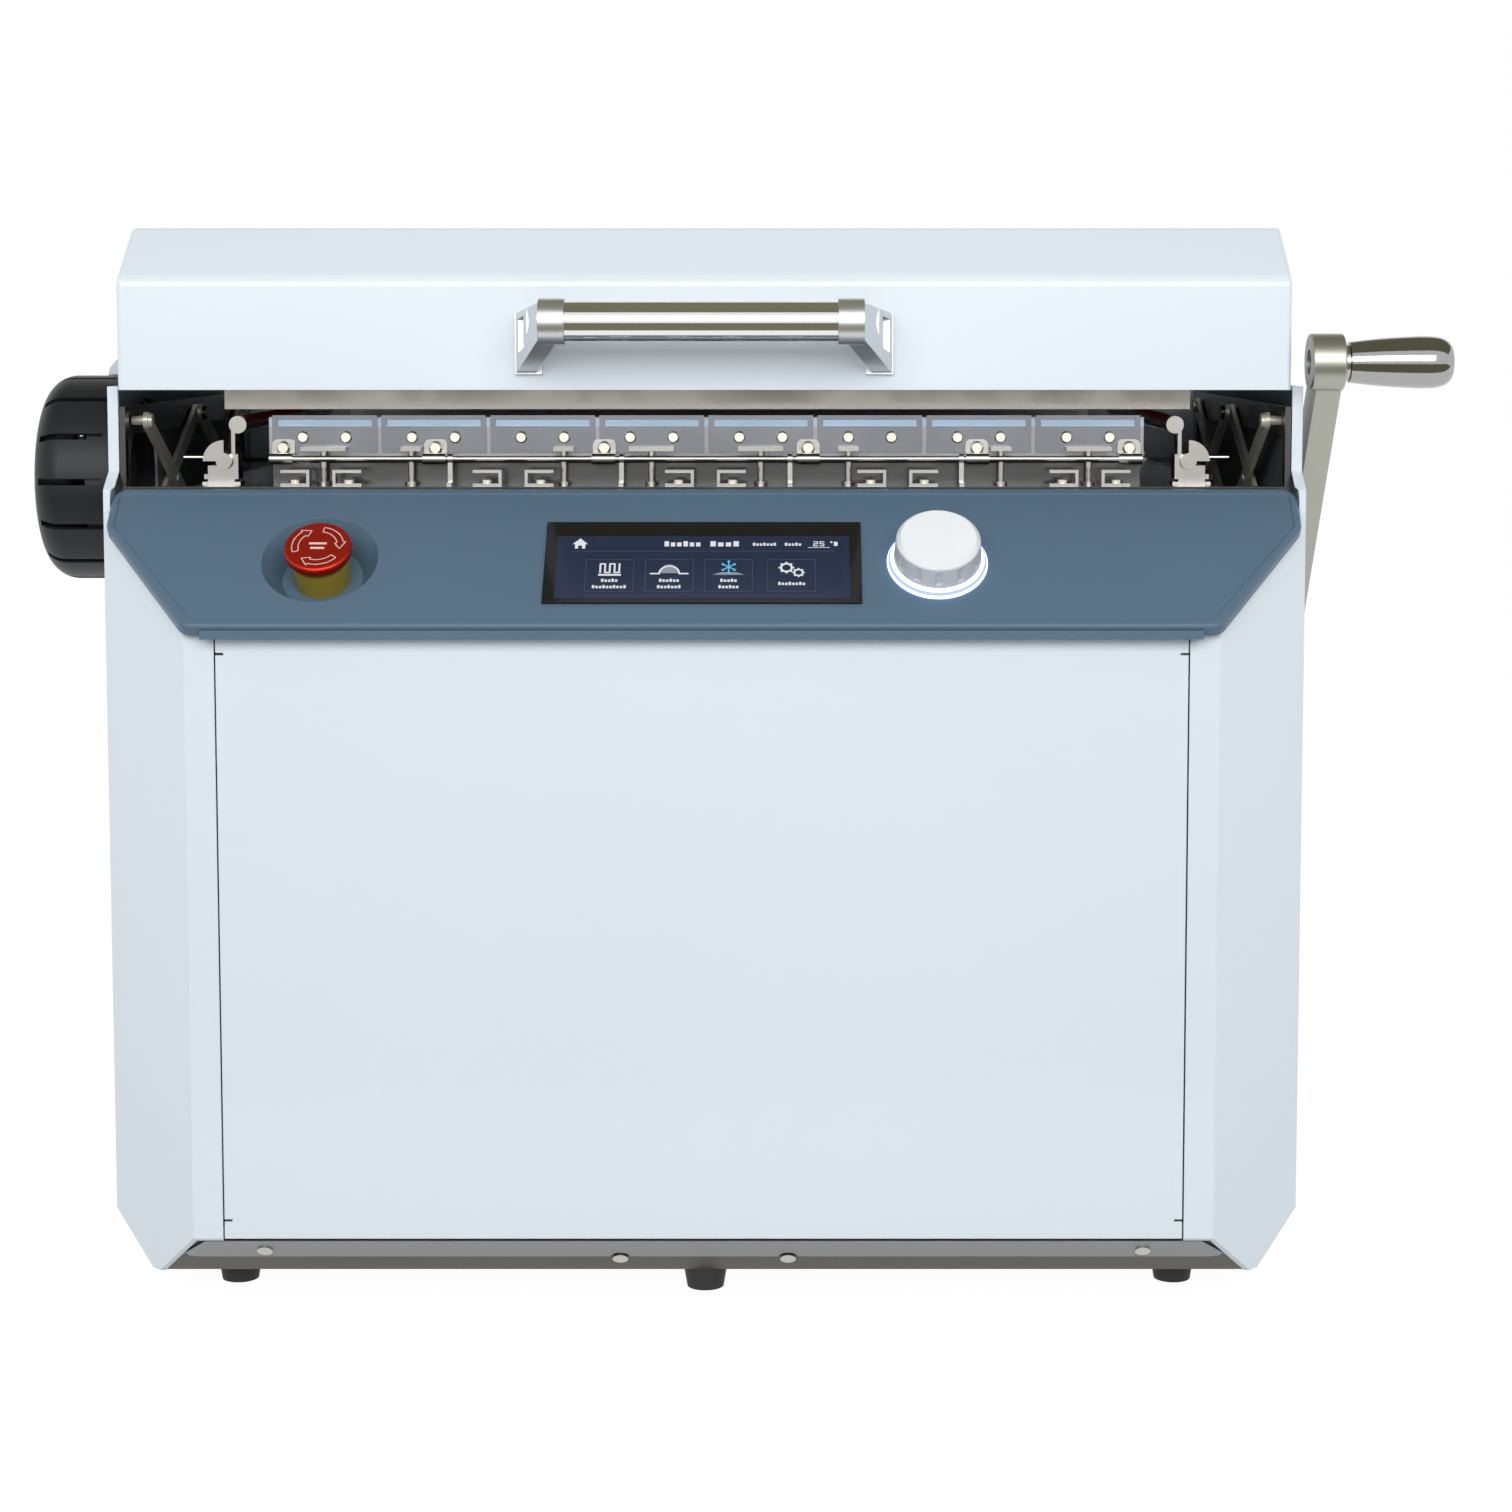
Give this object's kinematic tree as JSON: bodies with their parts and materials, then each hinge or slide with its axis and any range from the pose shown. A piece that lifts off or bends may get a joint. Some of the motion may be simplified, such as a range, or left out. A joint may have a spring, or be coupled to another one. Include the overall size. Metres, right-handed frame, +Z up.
{
  "type": "desktop vacuum former",
  "caption": "Desktop sheet former: beveled cabinet, tilted console with screen, stop and knob, heater hood, clamp carriage on scissor links, side crank and fan.",
  "frame": {"origin": "bottom centre of the whole machine, on the surface that it stands on", "axes": "+X to the machine's right, seen from the front; +Y to the back; +Z up"},
  "size_m": [0.74, 0.472, 0.549],
  "materials": {
    "white_paint": "gloss",
    "slate": "satin",
    "grey_paint": "satin",
    "dark_steel": "satin",
    "black_plastic": "satin",
    "rubber": "matte",
    "screen": "gloss",
    "red_cap": "gloss",
    "yellow_collar": "gloss",
    "white_plastic": "gloss",
    "grey_plastic": "satin",
    "steel": "brushed",
    "chrome": "polished",
    "aluminium": "satin",
    "brass": "satin",
    "quartz": "gloss",
    "green_board": "satin"
  },
  "bodies": {
    "cabinet": {"base_tray": "dark_steel", "front_panel": "white_paint", "front_skirt": "grey_paint", "side_cover_left": "white_paint", "side_cover_right": "white_paint", "rubber_feet": "rubber", "base_screws": "steel", "rear_panel": "white_paint", "power_inlet": "black_plastic", "inner_walls": "dark_steel", "console_fascia": "slate", "screen_glass": "screen", "stop_collar": "yellow_collar", "knob_light_ring": "white_plastic", "encoder_body": "black_plastic", "fan_housing": "black_plastic", "fan_cover": "black_plastic", "cabinet_hinge_blocks": "steel", "scissor_base_rails": "steel", "shaft_bushes": "brass", "forming_table": "aluminium", "vacuum_box": "dark_steel", "vacuum_pump": "aluminium", "control_board": "green_board"},
    "hood": {"hood_shell": "white_paint", "heater_tray": "steel", "heater_tubes": "quartz", "handle_tube": "chrome", "handle_brackets": "aluminium", "hood_hinge_arms": "steel"},
    "carriage": {"lower_clamp_frame": "dark_steel", "sheet_gaskets": "rubber", "upper_clamp_frame": "steel", "gripper_plates": "steel", "clip_tabs": "steel", "rail_brackets": "steel", "clamp_screws": "steel", "end_brackets": "steel", "lift_racks": "steel"},
    "cam_left": {"clamp_cam_left": "steel"},
    "cam_right": {"clamp_cam_right": "steel"},
    "crank": {"crank_shaft": "steel", "drive_pinions": "steel", "crank_arm": "aluminium", "grip_spindle": "steel"},
    "grip": {"crank_grip": "chrome"},
    "stop_plunger": {"stop_plunger": "grey_plastic"},
    "stop_button": {"stop_button": "red_cap"},
    "encoder_shaft": {"encoder_shaft": "steel"},
    "knob": {"knob_skirt": "grey_plastic", "knob_cap": "white_plastic"},
    "fan_rotor": {"fan_rotor": "black_plastic"},
    "link_front_hanging_left": {"link_front_hanging_left": "steel"},
    "link_front_hanging_right": {"link_front_hanging_right": "steel"},
    "link_front_standing_left": {"link_front_standing_left": "steel"},
    "link_front_standing_right": {"link_front_standing_right": "steel"},
    "link_rear_hanging_left": {"link_rear_hanging_left": "steel"},
    "link_rear_hanging_right": {"link_rear_hanging_right": "steel"},
    "link_rear_standing_left": {"link_rear_standing_left": "steel"},
    "link_rear_standing_right": {"link_rear_standing_right": "steel"}
  },
  "joints": [
    {"name": "hood_hinge", "type": "hinge", "parent": "cabinet", "child": "hood", "pos_m": [-0.014, 0.227, 0.474], "axis": [-1, 0, 0], "range_deg": [0, 65]},
    {"name": "crank_turn", "type": "hinge", "parent": "cabinet", "child": "crank", "pos_m": [-0.014, -0.041, 0.326], "axis": [-1, 0, 0], "range_deg": [0, 214.86]},
    {"name": "grip_spin", "type": "hinge", "parent": "crank", "child": "grip", "pos_m": [0.299, -0.16956, 0.47921], "axis": [1, 0, 0], "continuous": true},
    {"name": "carriage_drop", "type": "slide", "parent": "cabinet", "child": "carriage", "axis": [0, 0, -1], "range_m": [0, 0.045]},
    {"name": "cam_right_turn", "type": "hinge", "parent": "carriage", "child": "cam_right", "pos_m": [0.2395, -0.136, 0.427], "axis": [0, -1, 0], "range_deg": [0, 60]},
    {"name": "cam_left_turn", "type": "hinge", "parent": "carriage", "child": "cam_left", "pos_m": [-0.2675, -0.136, 0.427], "axis": [0, 1, 0], "range_deg": [0, 60]},
    {"name": "stop_push", "type": "slide", "parent": "cabinet", "child": "stop_plunger", "axis": [0, 0.665, -0.7468], "range_m": [0, 0.004], "stiffness_N_per_m": 2000},
    {"name": "stop_twist", "type": "hinge", "parent": "stop_plunger", "child": "stop_button", "pos_m": [-0.208, -0.20109, 0.38009], "axis": [0, -0.665, 0.7468], "range_deg": [0, 30], "stiffness_Nm_per_rad": 0.05},
    {"name": "knob_push", "type": "slide", "parent": "cabinet", "child": "encoder_shaft", "axis": [0, 0.665, -0.7468], "range_m": [0, 0.0008], "stiffness_N_per_m": 3000},
    {"name": "knob_turn", "type": "hinge", "parent": "encoder_shaft", "child": "knob", "pos_m": [0.1045, -0.20258, 0.37876], "axis": [0, -0.665, 0.7468], "continuous": true},
    {"name": "fan_spin", "type": "hinge", "parent": "cabinet", "child": "fan_rotor", "pos_m": [-0.324, -0.086, 0.416], "axis": [1, 0, 0], "continuous": true},
    {"name": "link_front_hanging_left_swing", "type": "hinge", "parent": "carriage", "child": "link_front_hanging_left", "pos_m": [-0.014, 0.017, 0.448], "axis": [-1, 0, 0], "range_deg": [0, 16.76]},
    {"name": "link_front_hanging_right_swing", "type": "hinge", "parent": "carriage", "child": "link_front_hanging_right", "pos_m": [-0.014, 0.017, 0.448], "axis": [-1, 0, 0], "range_deg": [0, 16.76]},
    {"name": "link_front_standing_left_swing", "type": "hinge", "parent": "cabinet", "child": "link_front_standing_left", "pos_m": [-0.014, 0.017, 0.37992], "axis": [1, 0, 0], "range_deg": [0, 16.76]},
    {"name": "link_front_standing_right_swing", "type": "hinge", "parent": "cabinet", "child": "link_front_standing_right", "pos_m": [-0.014, 0.017, 0.37992], "axis": [1, 0, 0], "range_deg": [0, 16.76]},
    {"name": "link_rear_hanging_left_swing", "type": "hinge", "parent": "carriage", "child": "link_rear_hanging_left", "pos_m": [-0.014, 0.017, 0.448], "axis": [1, 0, 0], "range_deg": [0, 16.76]},
    {"name": "link_rear_hanging_right_swing", "type": "hinge", "parent": "carriage", "child": "link_rear_hanging_right", "pos_m": [-0.014, 0.017, 0.448], "axis": [1, 0, 0], "range_deg": [0, 16.76]},
    {"name": "link_rear_standing_left_swing", "type": "hinge", "parent": "cabinet", "child": "link_rear_standing_left", "pos_m": [-0.014, 0.017, 0.37992], "axis": [-1, 0, 0], "range_deg": [0, 16.76]},
    {"name": "link_rear_standing_right_swing", "type": "hinge", "parent": "cabinet", "child": "link_rear_standing_right", "pos_m": [-0.014, 0.017, 0.37992], "axis": [-1, 0, 0], "range_deg": [0, 16.76]}
  ],
  "couplings": [
    {"joint": "carriage_drop", "follows": "crank_turn", "m_per_rad": 0.012},
    {"joint": "link_front_hanging_left_swing", "follows": "crank_turn", "ratio": 0.078016},
    {"joint": "link_front_hanging_right_swing", "follows": "crank_turn", "ratio": 0.078016},
    {"joint": "link_front_standing_left_swing", "follows": "crank_turn", "ratio": 0.078016},
    {"joint": "link_front_standing_right_swing", "follows": "crank_turn", "ratio": 0.078016},
    {"joint": "link_rear_hanging_left_swing", "follows": "crank_turn", "ratio": 0.078016},
    {"joint": "link_rear_hanging_right_swing", "follows": "crank_turn", "ratio": 0.078016},
    {"joint": "link_rear_standing_left_swing", "follows": "crank_turn", "ratio": 0.078016},
    {"joint": "link_rear_standing_right_swing", "follows": "crank_turn", "ratio": 0.078016}
  ]
}
